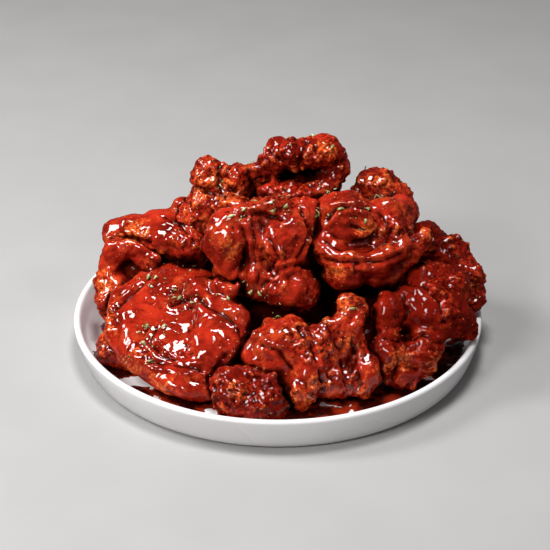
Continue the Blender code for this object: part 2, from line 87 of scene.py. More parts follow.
# Where the glaze is thin and the crust shows orange: a place and a radius.
BARE_SPOTS = (
    (-94, -36, 22, 11), (-80, -57, 18, 11), (-64, -74, 15, 10), (-33, -30, 44, 10), (-25, -32, 78, 8),
    (13, -84, 16, 12), (36, -52, 54, 10), (51, -70, 18, 10), (66, -68, 26, 10), (87, -66, 25, 9),
    (85, -20, 84, 8), (33, -37, 66, 8), (-83, 12, 66, 11), (-102, -5, 42, 9), (-36, 15, 100, 9),
    (60, 17, 95, 9), (109, -6, 40, 10), (50, -26, 86, 8), (26, 12, 118, 8), (-22, -90, 20, 7),
    (-26, -44, 36, 9), (-46, 12, 92, 9), (-100, -30, 34, 8),
)
BACK_SPOTS = 16
SPOT_SEED = 11

# Creases that show on the front, each a line of places across and up the picture at the middle of
# the heap. They are thrown on the heap from the camera.
CREASES = (
    ((-73, -51), (-59, -53), (-46, -54), (-39, -60), (-35, -67)),
    ((-60, -18), (-46, -12), (-40, -18), (-31, -23), (-23, -30), (-19, -38)),
    ((-100, -24), (-91, -18), (-81, -9), (-73, -1)),
    ((-69, -31), (-73, -40), (-66, -47), (-58, -50)),
    ((-29, -47), (-34, -55)),
    ((-13, 31), (-11, 20), (-13, 10), (-9, 0), (-11, -10)),
    ((-19, 27), (-17, 15), (-19, 4), (-24, -5)),
    ((16, 37), (20, 27), (18, 18), (13, 10)),
    ((-8, -7), (2, 3), (14, 6), (24, 3)),
    ((-31, 39), (-20, 34), (-8, 36), (6, 32)),
    ((-3, 20), (1, 11), (-3, 3)),
    ((30, 32), (37, 39), (50, 40), (61, 36), (68, 27), (65, 19), (53, 14), (39, 15), (30, 19)),
    ((25, 10), (38, 7), (51, 7), (64, 8), (73, 12)),
    ((44, 29), (51, 26), (57, 28)),
    ((64, -10), (73, -5), (87, -6), (96, -15), (99, -27)),
    ((64, -37), (75, -39), (87, -35), (99, -41), (112, -40)),
    ((71, -40), (73, -51), (68, -61)),
    ((75, -12), (78, -22), (74, -30)),
    ((14, -32), (21, -41), (25, -51), (27, -62)),
    ((-8, -41), (2, -45), (9, -54)),
    ((32, -32), (37, -44), (40, -55), (42, -68)),
    ((45, -39), (47, -50), (49, -64)),
    ((-65, 34), (-55, 29), (-47, 20)),
    ((-95, 20), (-85, 22), (-73, 19)),
    ((-32, 64), (-33, 54), (-28, 44)),
    ((-44, 52), (-36, 47), (-23, 50)),
    ((18, 78), (16, 71), (14, 65)),
    ((-3, 72), (3, 67), (12, 67)),
)
CREASE_DEPTH = 1.7
CREASE_WIDTH = 1.3
CREASE_STEP = 1.5

# Plate
PLATE_RADIUS = 120.0
PLATE_HEIGHT = 20.8
FOOT_RADIUS = 112.5
FLOOR_RADIUS = 106.0
FLOOR_HEIGHT = 5.0
RIM_WIDTH = 4.0
PLATE_STEPS = 192

# Sauce on the plate: how far it spreads from the pieces, how deep it stands against them, and the
# smears beyond that, each a place across and along the floor, a radius and a stretch across. The deep
# sauce is near black, which also paints the shade by the pieces and in the gaps of the heap.
SAUCE_SPREAD = 5.0
SAUCE_DEPTH = 1.0
SAUCE_THICKNESS = 0.3
SAUCE_EDGE = 0.12
SAUCE_MESH = 1.1
SMEARS = (
    (-48, -90, 10, 1.6), (-80, -70, 10, 1.3), (-92, -46, 7, 1.0), (14, -98, 13, 1.8), (62, -86, 18, 1.4),
    (84, -68, 20, 1.0), (99, -46, 20, 0.9), (106, -22, 18, 0.7), (-8, -100, 9, 1.6), (108, -4, 14, 0.6),
    (26, -87, 10, 1.7), (0, 8, 72, 1.15),
)

# Herbs: the leaves on the front lie at these distances across and up the slope of the heap, each
# with its turn. The back ones, the specks and the crumbs are sprinkled.
SPRINKLE_PITCH = 29.0
FRONT_LEAVES = (
    (-26, 33, 10), (-19, 37, 40), (-13, 42, -20), (-3, 37, 30), (4, 39, 60), (22, 35, -40),
    (35, 37, 15), (49, 30, 70), (50, 38, 25), (-50, 5, 15), (-56, -13, 50), (-48, -15, -30),
    (-59, -13, 20), (-73, -29, 60), (-78, -32, 20), (-75, -38, -50), (-71, -47, 10),
    (-64, -29, 35), (-75, -1, 80), (-70, -2, 30), (-28, -13, -60), (-15, -9, 40),
    (-10, -10, -70), (41, -18, 10), (0, -24, 30),
)
BACK_LEAVES = 14
LEAF_LENGTH = 4.6
LEAF_BITS = 4
BIT_REACH = 4.0
LEAF_SEED = 7
LEAF_LIFT = 0.25
HEAP_MIDDLE = 43.0
SPECKS = {"Per Square Metre": 5200.0, "Smallest": 0.5, "Largest": 1.5, "Lowest Slope": 0.15, "Seed": 21}
CRUMBS = {"Per Square Metre": 9000.0, "Smallest": 0.6, "Largest": 1.8, "Lowest Slope": -0.3, "Seed": 41}

# Colours
DEEP_RED = (0.17, 0.006, 0.002, 1)
BRIGHT_RED = (0.47, 0.024, 0.008, 1)
AMBER = (0.54, 0.070, 0.016, 1)
BROWN_ORANGE = (0.50, 0.042, 0.009, 1)
PALE_ORANGE = (0.76, 0.155, 0.030, 1)
# Near black: dark sauce, and the painted shade in hollows, near neighbouring pieces and on shaded pieces.
POOL_AND_SHADE_DARK = (0.020, 0.0012, 0.0006, 1)
THIN_SAUCE = (0.26, 0.018, 0.005, 1)
# Near black deep sauce on the plate, also the painted shade by the pieces.
THICK_SAUCE_AND_SHADE = (0.022, 0.0012, 0.0006, 1)
DARK_HERB = (0.24, 0.28, 0.07, 1)
PALE_HERB = (0.62, 0.64, 0.33, 1)
DARK_CRUMB = (0.30, 0.018, 0.006, 1)
PALE_CRUMB = (0.66, 0.13, 0.03, 1)
COOL_WHITE = (0.825, 0.80, 0.805, 1)
WARM_WHITE = (0.85, 0.83, 0.835, 1)
FLOOR_GREY = (0.38, 0.372, 0.368, 1)
FLOOR_PALE = (0.40, 0.392, 0.388, 1)

# Lamps: where each soft square panel stands in metres, its side and its power. All face the heap.
LAMPS = {
    "key_panel": ((-0.84, 0.10, 0.80), 0.34, 8.6),
    "front_panel": ((-0.62, -0.72, 0.78), 0.30, 7.5),
    "top_panel": ((0.03, -0.05, 1.12), 0.30, 9.4),
    "right_panel": ((0.60, -0.65, 0.8), 0.08, 1),
}
LAMP_AIM = (0.0, 0.0, 0.04)
ROOM_LIGHT = 0.05


# ---- nodes ----


def link(obj):
    """Puts an object in the scene."""
    bpy.context.scene.collection.objects.link(obj)
    return obj


def add(tree, kind, inputs=None, **settings):
    """Adds a node, sets it and wires or fills its inputs."""
    node = tree.nodes.new(kind)
    for key, value in settings.items():
        setattr(node, key, value)
    for key, value in (inputs or {}).items():
        if isinstance(value, bpy.types.NodeSocket):
            tree.links.new(value, node.inputs[key])
        else:
            node.inputs[key].default_value = value
    return node


def maths(tree, operation, a, b=0.0, c=0.0, clamp=False):
    """One sum on numbers."""
    return add(tree, "ShaderNodeMath", {0: a, 1: b, 2: c}, operation=operation, use_clamp=clamp).outputs[0]


def vector_maths(tree, operation, a, b=(0, 0, 0)):
    """One sum on vectors."""
    node = add(tree, "ShaderNodeVectorMath", {0: a, 1: b}, operation=operation)
    return node.outputs["Value" if operation in ("DOT_PRODUCT", "DISTANCE", "LENGTH") else "Vector"]


def scaled(tree, vector, size):
    """A vector times a number."""
    return add(tree, "ShaderNodeVectorMath", {0: vector, "Scale": size}, operation="SCALE").outputs["Vector"]


def ramp_between(tree, value, low, high, to_low=0.0, to_high=1.0, smooth=True):
    """The value mapped from one range to another, and held at its ends."""
    kind = "SMOOTHSTEP" if smooth else "LINEAR"
    inputs = {"Value": value, "From Min": low, "From Max": high, "To Min": to_low, "To Max": to_high}
    return add(tree, "ShaderNodeMapRange", inputs, interpolation_type=kind).outputs["Result"]


def noise(tree, place, spacing_mm, detail=2.0, roughness=0.5):
    """Noise from -1 to 1 with swells this many millimetres apart."""
    inputs = {"Vector": place, "Scale": 1.0 / (spacing_mm * MM), "Detail": detail, "Roughness": roughness}
    node = add(tree, "ShaderNodeTexNoise", inputs, noise_dimensions="3D", noise_type="FBM", normalize=False)
    return node.outputs[0]


def wandering(tree, place, spacing_mm, reach_mm):
    """The place pushed about, so that a pattern read there isn't regular."""
    inputs = {"Vector": place, "Scale": 1.0 / (spacing_mm * MM), "Detail": 1.0}
    cloud = add(tree, "ShaderNodeTexNoise", inputs, noise_dimensions="3D").outputs["Color"]
    push = vector_maths(tree, "SUBTRACT", cloud, (0.5, 0.5, 0.5))
    return vector_maths(tree, "ADD", place, scaled(tree, push, 2 * reach_mm * MM))


def nodules(tree, place, spacing_mm, reach=0.62, lowest=0.2):
    """Rounded knobs of uneven height: 0 between them and up to 1 on the tallest."""
    scale = maths(tree, "DIVIDE", 1.0 / MM, spacing_mm)
    node = add(
        tree, "ShaderNodeTexVoronoi", {"Vector": place, "Scale": scale, "Smoothness": 0.3},
        feature="SMOOTH_F1", normalize=False,
    )
    near = maths(tree, "DIVIDE", node.outputs["Distance"], reach)
    left = maths(tree, "MAXIMUM", maths(tree, "SUBTRACT", 1.0, maths(tree, "MULTIPLY", near, near)), 0.0)
    tall = add(tree, "ShaderNodeSeparateXYZ", {"Vector": node.outputs["Color"]}).outputs["X"]
    tall = ramp_between(tree, tall, 0.0, 1.0, lowest, 1.0, smooth=False)
    return maths(tree, "MULTIPLY", maths(tree, "SQRT", left), tall)


def lumps(tree, place, spacing_mm):
    """Rounded lumps of all shapes with sharp creases between: 0 in the creases."""
    scale = maths(tree, "DIVIDE", 1.0 / MM, spacing_mm)
    inputs = {"Vector": place, "Scale": scale, "Detail": 0.6, "Roughness": 0.4}
    node = add(tree, "ShaderNodeTexNoise", inputs, noise_dimensions="3D", noise_type="FBM", normalize=False)
    return maths(tree, "ABSOLUTE", node.outputs[0])


def blend(tree, share, a, b):
    """A mix of two numbers."""
    return add(tree, "ShaderNodeMix", {"Factor": share, 2: a, 3: b}, data_type="FLOAT").outputs[0]


def blurred(tree, value, count, kind="FLOAT_VECTOR"):
    """A value evened out between neighbouring points this many times."""
    inputs = {"Value": value, "Iterations": count}
    return add(tree, "GeometryNodeBlurAttribute", inputs, data_type=kind).outputs[0]


def drawn(tree, low, high, seed, kind):
    """A random value between two ends for each point."""
    first, out = {"FLOAT_VECTOR": (0, 0), "FLOAT": (2, 1), "INT": (4, 2)}[kind]
    inputs = {first: low, first + 1: high, "Seed": seed}
    return add(tree, "FunctionNodeRandomValue", inputs, data_type=kind).outputs[out]


def new_tree(name, inputs):
    """An empty Geometry Nodes tree with a shape going in, a shape coming out and these named inputs."""
    tree = bpy.data.node_groups.new(name, "GeometryNodeTree")
    tree.interface.new_socket("Shape", in_out="INPUT", socket_type="NodeSocketGeometry")
    kinds = {float: "NodeSocketFloat", int: "NodeSocketInt", tuple: "NodeSocketVector"}
    for label, value in inputs.items():
        kind = value if isinstance(value, str) else kinds[type(value)]
        socket = tree.interface.new_socket(label, in_out="INPUT", socket_type=kind)
        if not isinstance(value, str):
            socket.default_value = value
    tree.interface.new_socket("Shape", in_out="OUTPUT", socket_type="NodeSocketGeometry")
    return tree, tree.nodes.new("NodeGroupInput").outputs


def end_tree(tree, shape, material):
    """Ends a tree with real mesh in one material."""
    real = add(tree, "GeometryNodeRealizeInstances", {"Geometry": shape}).outputs[0]
    smooth = add(tree, "GeometryNodeSetShadeSmooth", {"Geometry": real}).outputs[0]
    coated = add(tree, "GeometryNodeSetMaterial", {"Geometry": smooth, "Material": material}).outputs[0]
    tree.links.new(coated, tree.nodes.new("NodeGroupOutput").inputs[0])


def store(tree, shape, label, value, kind="FLOAT"):
    """Keeps a value for each point of the shape."""
    inputs = {"Geometry": shape, "Name": label, "Value": value}
    return add(tree, "GeometryNodeStoreNamedAttribute", inputs, data_type=kind, domain="POINT").outputs[0]


def read(tree, label, kind="FLOAT"):
    """A value kept for each point."""
    return add(tree, "GeometryNodeInputNamedAttribute", {"Name": label}, data_type=kind).outputs["Attribute"]


def grow_from(obj, tree, values):
    """Runs a tree on an object with these inputs and keeps the result as plain mesh."""
    modifier = obj.modifiers.new(tree.name, "NODES")
    modifier.node_group = tree
    for item in tree.interface.items_tree:
        if item.in_out == "INPUT" and item.name in values:
            modifier[item.identifier] = values[item.name]
    bake(obj)


def bake(obj):
    """Turns the object's modifiers into plain mesh."""
    graph = bpy.context.evaluated_depsgraph_get()
    mesh = bpy.data.meshes.new_from_object(obj.evaluated_get(graph))
    old = obj.data
    obj.modifiers.clear()
    obj.data = mesh
    bpy.data.meshes.remove(old)


def new_shader(name):
    """A material with an empty Principled surface."""
    material = bpy.data.materials.new(name)
    material.use_nodes = True
    tree = material.node_tree
    return material, tree, tree.nodes["Principled BSDF"]


def colour_mix(tree, share, a, b):
    """A mix of two colours."""
    inputs = {"Factor": share, 6: a, 7: b}
    return add(tree, "ShaderNodeMix", inputs, data_type="RGBA").outputs[2]


def attribute(tree, name):
    """A value kept for each point, read in a material."""
    return add(tree, "ShaderNodeAttribute", attribute_name=name).outputs["Fac"]


# ---- materials ----


def crust_colour(tree, place, kept, fine):
    """Deep red in the smooth glaze, orange on the knobs and in bare spots, all darker as painted shade on the
    pieces that lie in shadow.
    """
    crust, tone, bare = kept["crust"], kept["tone"], kept["bare"]
    broad = noise(tree, place, 17, 3.0, 0.6)
    patchy = noise(tree, place, 5.5, 3.0, 0.6)
    uneven = maths(tree, "MULTIPLY_ADD", crust, 0.6, 0.3)
    depth = maths(tree, "MULTIPLY_ADD", fine, 0.6, patchy)
    depth = maths(tree, "MULTIPLY_ADD", depth, uneven, maths(tree, "MULTIPLY", broad, 0.8))
    # Pieces that lie in shadow get a darker red and less orange: painted shade.
    depth = maths(tree, "MULTIPLY_ADD", tone, -0.7, depth)
    red = colour_mix(tree, ramp_between(tree, depth, -0.9, 0.6), DEEP_RED, BRIGHT_RED)
    amber = maths(tree, "MULTIPLY_ADD", tone, -0.5, noise(tree, place, 11, 4.0, 0.7))
    red = colour_mix(tree, ramp_between(tree, amber, -0.05, 0.55, 0.0, 0.38), red, AMBER)
    showing = maths(tree, "MULTIPLY_ADD", fine, 0.5, kept["height"])
    showing = maths(tree, "MULTIPLY_ADD", tone, -0.5, showing)
    on_knobs = maths(tree, "MULTIPLY", ramp_between(tree, showing, 0.3, 1.6), crust)
    mottled = maths(tree, "MULTIPLY_ADD", fine, 0.5, patchy)
    on_spots = ramp_between(tree, maths(tree, "MULTIPLY_ADD", mottled, 0.55, bare), 0.25, 0.95)
    on_spots = maths(tree, "MULTIPLY", on_spots, ramp_between(tree, bare, 0.0, 0.2))
    share = maths(tree, "ADD", maths(tree, "MULTIPLY", on_knobs, 0.75), on_spots, clamp=True)
    orange = colour_mix(tree, ramp_between(tree, fine, -0.4, 0.5), BROWN_ORANGE, PALE_ORANGE)
    return colour_mix(tree, share, red, orange)


def coat_on_crust(tree, place, kept, hidden, shader):
    """Wet glaze over the crust: smoother than it, with less coat on low faces and where painted shade lies,
    in the hollows, near neighbouring pieces and on shaded pieces.
    """
    crust = kept["crust"]
    face = add(tree, "ShaderNodeAttribute", attribute_name="glaze_face").outputs["Vector"]
    looks_up = add(tree, "ShaderNodeSeparateXYZ", {"Vector": face}).outputs["Z"]
    wet = ramp_between(tree, hidden, 0.12, 0.75, 1.0, 0.12)
    wet = maths(tree, "MULTIPLY", wet, ramp_between(tree, looks_up, -0.35, 0.30, 0.12, 1.0))
    wet = maths(tree, "MULTIPLY", wet, ramp_between(tree, kept["tone"], 0.2, 1.6, 1.0, 0.05))
    tree.links.new(wet, shader.inputs["Coat Weight"])
    shader.inputs["Coat Roughness"].default_value = 0.045
    shader.inputs["Coat IOR"].default_value = 1.5
    swirl = noise(tree, wandering(tree, place, 7, 3), 4.0, 0.0)
    swirl = maths(tree, "MULTIPLY", swirl, maths(tree, "MULTIPLY_ADD", crust, 0.5, 0.6))
    beads = maths(tree, "MULTIPLY", noise(tree, wandering(tree, place, 4, 1.2), 2.4, 0.0), crust)
    swirl = maths(tree, "MULTIPLY_ADD", beads, 0.35, swirl)
    inputs = {"Height": swirl, "Strength": 0.25, "Distance": 0.0006, "Normal": face}
    tree.links.new(add(tree, "ShaderNodeBump", inputs).outputs[0], shader.inputs["Coat Normal"])


def glazed_crust():
    """Fried crust under a wet red glaze, with painted shade in the hollows, where the sauce also pools, near
    neighbouring pieces and on pieces that lie in shadow.
    """
    material, tree, shader = new_shader("glazed_crust")
    place = add(tree, "ShaderNodeTexCoord").outputs["Object"]
    kept = {label: attribute(tree, label) for label in ("crust", "height", "hollow", "shade", "bare", "tone")}
    fine = noise(tree, place, 1.7, 3.0, 0.52)
    base = crust_colour(tree, place, kept, fine)
    pits = ramp_between(tree, noise(tree, place, 2.3, 2.0, 0.6), 0.12, 0.42)
    pits = maths(tree, "MULTIPLY", maths(tree, "MULTIPLY", pits, kept["crust"]), 0.75)
    # Dark in the hollows: painted shade, where the sauce also pools.
    sunk = maths(tree, "MULTIPLY_ADD", fine, 0.08, kept["hollow"])
    pooled_and_shaded = maths(tree, "MULTIPLY", ramp_between(tree, sunk, 0.05, 0.50), 0.85)
    # Dark where neighbouring chicken crowds round: painted shade.
    painted_occlusion = maths(tree, "MULTIPLY", ramp_between(tree, kept["shade"], 0.10, 0.45), 0.95)
    dark_share = maths(tree, "MAXIMUM", maths(tree, "MAXIMUM", pooled_and_shaded, pits), painted_occlusion)
    # Dark over the pieces that lie in shadow: painted shade.
    dark_share = maths(tree, "MAXIMUM", dark_share, ramp_between(tree, kept["tone"], 0.8, 1.6, 0.0, 0.9))
    tree.links.new(colour_mix(tree, dark_share, base, POOL_AND_SHADE_DARK), shader.inputs["Base Color"])
    tree.links.new(ramp_between(tree, fine, -0.6, 0.6, 0.30, 0.55), shader.inputs["Roughness"])
    shader.inputs["Specular IOR Level"].default_value = 0.0
    shader.inputs["Subsurface Weight"].default_value = 0.06
    shader.inputs["Subsurface Radius"].default_value = (1.0, 0.15, 0.06)
    shader.inputs["Subsurface Scale"].default_value = 0.003
    grain = maths(tree, "MULTIPLY_ADD", noise(tree, place, 1.3, 3.0, 0.6), kept["crust"], fine)
    bump = add(tree, "ShaderNodeBump", {"Height": grain, "Strength": 0.5, "Distance": 0.0004})
    tree.links.new(bump.outputs[0], shader.inputs["Normal"])
    coat_on_crust(tree, place, kept, maths(tree, "MAXIMUM", pooled_and_shaded, painted_occlusion), shader)
    return material


def plate_glaze():
    """White glazed ceramic, faintly uneven."""
    material, tree, shader = new_shader("plate_glaze")
    place = add(tree, "ShaderNodeTexCoord").outputs["Object"]
    cloud = noise(tree, place, 60, 2.0, 0.5)
    white = colour_mix(tree, ramp_between(tree, cloud, -0.6, 0.6), COOL_WHITE, WARM_WHITE)
    tree.links.new(white, shader.inputs["Base Color"])
    tree.links.new(ramp_between(tree, cloud, -0.6, 0.6, 0.26, 0.32), shader.inputs["Roughness"])
    shader.inputs["Coat Weight"].default_value = 0.3
    shader.inputs["Coat Roughness"].default_value = 0.14
    ripple = noise(tree, place, 12, 2.0)
    bump = add(tree, "ShaderNodeBump", {"Height": ripple, "Strength": 0.06, "Distance": 0.0005})
    tree.links.new(bump.outputs[0], shader.inputs["Normal"])
    return material


def sauce_film():
    """Thin wet sauce on the plate, from thin red to near black where it is deep; the near black by the pieces
    is painted shade as well as sauce.
    """
    material, tree, shader = new_shader("sauce_film")
    place = add(tree, "ShaderNodeTexCoord").outputs["Object"]
    depth = attribute(tree, "depth")
    thin = noise(tree, place, 6, 3.0, 0.6)
    share = ramp_between(tree, maths(tree, "MULTIPLY_ADD", thin, 0.25, depth), 0.0, 0.45)
    colour = colour_mix(tree, share, THIN_SAUCE, THICK_SAUCE_AND_SHADE)
    tree.links.new(colour, shader.inputs["Base Color"])
    tree.links.new(ramp_between(tree, thin, -0.5, 0.5, 0.12, 0.3), shader.inputs["Roughness"])
    shader.inputs["Specular IOR Level"].default_value = 0.25
    shader.inputs["Coat Weight"].default_value = 1.0
    shader.inputs["Coat Roughness"].default_value = 0.05
    shader.inputs["Coat IOR"].default_value = 1.36
    bump = add(tree, "ShaderNodeBump", {"Height": thin, "Strength": 0.3, "Distance": 0.0006})
    tree.links.new(bump.outputs[0], shader.inputs["Normal"])
    return material


def herb_leaf():
    """Dried green herb, paler on some flakes, under a little glaze."""
    material, tree, shader = new_shader("herb_leaf")
    place = add(tree, "ShaderNodeTexCoord").outputs["Object"]
    tint = noise(tree, place, 5, 2.0)
    green = colour_mix(tree, ramp_between(tree, tint, -0.4, 0.4), DARK_HERB, PALE_HERB)
    tree.links.new(green, shader.inputs["Base Color"])
    tree.links.new(ramp_between(tree, tint, -0.5, 0.5, 0.35, 0.55), shader.inputs["Roughness"])
    shader.inputs["Coat Weight"].default_value = 0.5
    shader.inputs["Coat Roughness"].default_value = 0.15
    veins = noise(tree, place, 0.7, 2.0)
    bump = add(tree, "ShaderNodeBump", {"Height": veins, "Strength": 0.4, "Distance": 0.0002})
    tree.links.new(bump.outputs[0], shader.inputs["Normal"])
    return material


def fried_crumb():
    """Crisp crumb in the glaze, from brown to orange."""
    material, tree, shader = new_shader("fried_crumb")
    place = add(tree, "ShaderNodeTexCoord").outputs["Object"]
    tint = noise(tree, place, 4, 3.0)
    brown = colour_mix(tree, ramp_between(tree, tint, -0.4, 0.4), DARK_CRUMB, PALE_CRUMB)
    tree.links.new(brown, shader.inputs["Base Color"])
    shader.inputs["Roughness"].default_value = 0.4
    shader.inputs["Specular IOR Level"].default_value = 0.25
    shader.inputs["Coat Weight"].default_value = 1.0
    shader.inputs["Coat Roughness"].default_value = 0.06
    shader.inputs["Coat IOR"].default_value = 1.36
    pits = noise(tree, place, 0.5, 2.0)
    bump = add(tree, "ShaderNodeBump", {"Height": pits, "Strength": 0.4, "Distance": 0.0002})
    tree.links.new(bump.outputs[0], shader.inputs["Normal"])
    return material


def stage_paper():
    """Plain pale floor."""
    material, tree, shader = new_shader("stage_paper")
    place = add(tree, "ShaderNodeTexCoord").outputs["Object"]
    tint = noise(tree, place, 60, 2.0)
    pale = colour_mix(tree, ramp_between(tree, tint, -1, 1), FLOOR_GREY, FLOOR_PALE)
    tree.links.new(pale, shader.inputs["Base Color"])
    shader.inputs["Roughness"].default_value = 0.9
    return material


# ---- chicken ----


def crust_tree():
    """Lays crust and glaze on a smooth piece: knobs where it is crusty, folds where glaze covers it."""
    inputs = {
        "Crust": 0.5, "Knob Size": 6.0, "Knob Height": 1.5, "Fold Height": 0.9, "Fold Turn": (0.0, 0.0, 0.0),
        "Painted Shade Level": 0.2, "Creases": "NodeSocketObject", "Crease Depth": CREASE_DEPTH,
        "Crease Width": CREASE_WIDTH, "Neighbours": "NodeSocketObject", "Sight": 0.022, "Seed": 1,
        "Skin": "NodeSocketMaterial",
    }
    tree, given = new_tree("fried_crust", inputs)
    start = add(tree, "GeometryNodeInputPosition").outputs[0]
    normal = add(tree, "GeometryNodeInputNormal").outputs[0]
    aside = maths(tree, "MULTIPLY", given["Seed"], 1.7)
    shift = add(tree, "ShaderNodeCombineXYZ", {0: given["Seed"], 1: aside})
    place = vector_maths(tree, "ADD", start, shift.outputs[0])
    bent = wandering(tree, place, 8, 3.2)
    patch = noise(tree, place, 22, 2.0, 0.5)
    lean = maths(tree, "MULTIPLY_ADD", given["Crust"], 2.0, -1.0)
    share = ramp_between(tree, maths(tree, "MULTIPLY_ADD", patch, 1.4, lean), -0.4, 0.4)
    size = given["Knob Size"]
    crust = maths(tree, "MULTIPLY", lumps(tree, bent, size), 2.5)
    crust = maths(tree, "MULTIPLY_ADD", lumps(tree, bent, maths(tree, "MULTIPLY", size, 0.47)), 1.2, crust)
    knobs = nodules(tree, bent, maths(tree, "MULTIPLY", size, 0.7), 0.5, 0.0)
    crust = maths(tree, "MULTIPLY_ADD", knobs, 0.6, crust)
    crust = maths(tree, "MULTIPLY", maths(tree, "SUBTRACT", crust, 0.95), given["Knob Height"])
    turned = add(
        tree, "ShaderNodeVectorRotate", {"Vector": place, "Rotation": given["Fold Turn"]},
        rotation_type="EULER_XYZ",
    ).outputs[0]
    stretched = wandering(tree, vector_maths(tree, "MULTIPLY", turned, (0.38, 0.7, 1.0)), 14, 2.4)
    fold = maths(tree, "MULTIPLY", lumps(tree, stretched, 9.0), 2.6)
    fold = maths(tree, "MULTIPLY_ADD", lumps(tree, stretched, 4.2), 1.3, fold)
    fold = maths(tree, "MULTIPLY_ADD", lumps(tree, bent, 2.6), 0.6, fold)
    bead = maths(tree, "MAXIMUM", maths(tree, "SUBTRACT", nodules(tree, bent, 4.4, 0.42, 0.0), 0.45), 0.0)
    fold = maths(tree, "MULTIPLY_ADD", bead, 1.2, fold)
    fold = maths(tree, "MULTIPLY", maths(tree, "SUBTRACT", fold, 0.85), given["Fold Height"])
    height = maths(tree, "ADD", blend(tree, share, fold, crust), crease_height(tree, given, start))
    shape = store(tree, given["Shape"], "crust", share)
    shape = store(tree, shape, "height", height)
    # Each piece's painted shade level, and the share of room round each point crowded by neighbours, which
    # the material paints as shade.
    shape = store(tree, shape, "tone", given["Painted Shade Level"])
    shape = store(tree, shape, "shade", unseen_share(tree, given, start, normal))
    push = scaled(tree, normal, maths(tree, "MULTIPLY", read(tree, "height"), MM))
    shape = add(tree, "GeometryNodeSetPosition", {"Geometry": shape, "Offset": push}).outputs[0]
    # Fine grit stands out along the crust's own slopes, so that knobs overhang a little.
    grit = nodules(tree, wandering(tree, place, 5, 1.4), 2.5, 0.6, 0.0)
    grit = maths(tree, "MULTIPLY", maths(tree, "MULTIPLY", grit, read(tree, "crust")), given["Knob Height"])
    push = scaled(tree, normal, maths(tree, "MULTIPLY", grit, 0.42 * MM))
    shape = add(tree, "GeometryNodeSetPosition", {"Geometry": shape, "Offset": push}).outputs[0]
    # Sauce rounds the edges off.
    coated = blurred(tree, start, 2)
    shape = add(tree, "GeometryNodeSetPosition", {"Geometry": shape, "Position": coated}).outputs[0]
    dip = vector_maths(tree, "SUBTRACT", blurred(tree, start, 10), start)
    depth = vector_maths(tree, "DOT_PRODUCT", dip, normal)
    shape = store(tree, shape, "hollow", maths(tree, "MULTIPLY", depth, 1.0 / MM))
    # The wet glaze is smoother than the crust under it.
    thick, thin = (blurred(tree, normal, count) for count in GLAZE_EVENING)
    evened = add(
        tree, "ShaderNodeMix", {"Factor": read(tree, "crust"), 4: thick, 5: thin}, data_type="VECTOR"
    ).outputs[1]
    shape = store(tree, shape, "glaze_face", evened, "FLOAT_VECTOR")
    end_tree(tree, shape, given["Skin"])
    return tree


def crease_height(tree, given, start):
    """A narrow dip along the creases with a low swell on both its sides, in mm."""
    lines = add(tree, "GeometryNodeObjectInfo", {"Object": given["Creases"]}).outputs["Geometry"]
    near = add(
        tree, "GeometryNodeProximity", {"Target": lines, "Source Position": start}, target_element="EDGES"
    ).outputs["Distance"]
    near = maths(tree, "DIVIDE", maths(tree, "DIVIDE", near, MM), given["Crease Width"])
    dip = ramp_between(tree, near, 0.0, 1.7, -1.0, 0.0)
    fall = ramp_between(tree, near, 2.2, 4.5, 1.0, 0.0)
    swell = maths(tree, "MULTIPLY", ramp_between(tree, near, 1.0, 2.2), fall)
    return maths(tree, "MULTIPLY", maths(tree, "MULTIPLY_ADD", swell, 0.4, dip), given["Crease Depth"])


def unseen_share(tree, given, start, normal, rays=10):
    """How much of the room round each point is taken up by nearby chicken, from 0 to 1."""
    target = add(tree, "GeometryNodeObjectInfo", {"Object": given["Neighbours"]}).outputs["Geometry"]
    source = vector_maths(tree, "ADD", start, scaled(tree, normal, 0.8 * MM))
    total = 0.0
    for number in range(rays):
        anywhere = drawn(tree, (-1.0, -1.0, -1.0), (1.0, 1.0, 1.0), number, "FLOAT_VECTOR")
        leaning = scaled(tree, vector_maths(tree, "NORMALIZE", anywhere), 0.9)
        leaning = vector_maths(tree, "ADD", leaning, normal)
        ray = add(
            tree, "GeometryNodeRaycast",
            {
                "Target Geometry": target, "Source Position": source, "Ray Direction": leaning,
                "Ray Length": given["Sight"],
            },
        )
        away = maths(tree, "DIVIDE", ray.outputs["Hit Distance"], given["Sight"])
        near = maths(tree, "SUBTRACT", 1.0, away)
        total = maths(tree, "MULTIPLY_ADD", near, ray.outputs["Is Hit"], total)
    share = maths(tree, "DIVIDE", total, float(rays))
    return blurred(tree, share, 5, "FLOAT")


def rounded_copy(name):
    """A fine, softly rounded copy of a solid's mesh."""
    solid = bpy.data.objects[name]
    bm = bmesh.new()
    bm.from_mesh(solid.data)
    bmesh.ops.remove_doubles(bm, verts=bm.verts, dist=0.00001)
    piece = object_from(bm, name + "_crusted")
    fine = piece.modifiers.new("Fine", "REMESH")
    fine.mode = "VOXEL"
    fine.voxel_size = (HIDDEN_GRAIN if name in HIDDEN_PIECES else GRAIN) * MM
    soften = piece.modifiers.new("Soften", "SMOOTH")
    soften.factor = 0.5
    soften.iterations = ROUNDING
    swell = piece.modifiers.new("Swell", "DISPLACE")
    swell.strength = SWELL_BACK * MM
    swell.mid_level = 0.0
    bake(piece)
    return piece


def object_from(bm, name):
    """An object with this mesh in it."""
    mesh = bpy.data.meshes.new(name)
    bm.to_mesh(mesh)
    bm.free()
    return link(bpy.data.objects.new(name, mesh))


def discard(obj):
    """Removes a helper and its mesh."""
    mesh = obj.data
    bpy.data.objects.remove(obj, do_unlink=True)
    bpy.data.meshes.remove(mesh)


def joined(objects, name):
    """One helper object with the meshes of all of these."""
    bm = bmesh.new()
    for obj in objects:
        bm.from_mesh(obj.data)
    return object_from(bm, name)


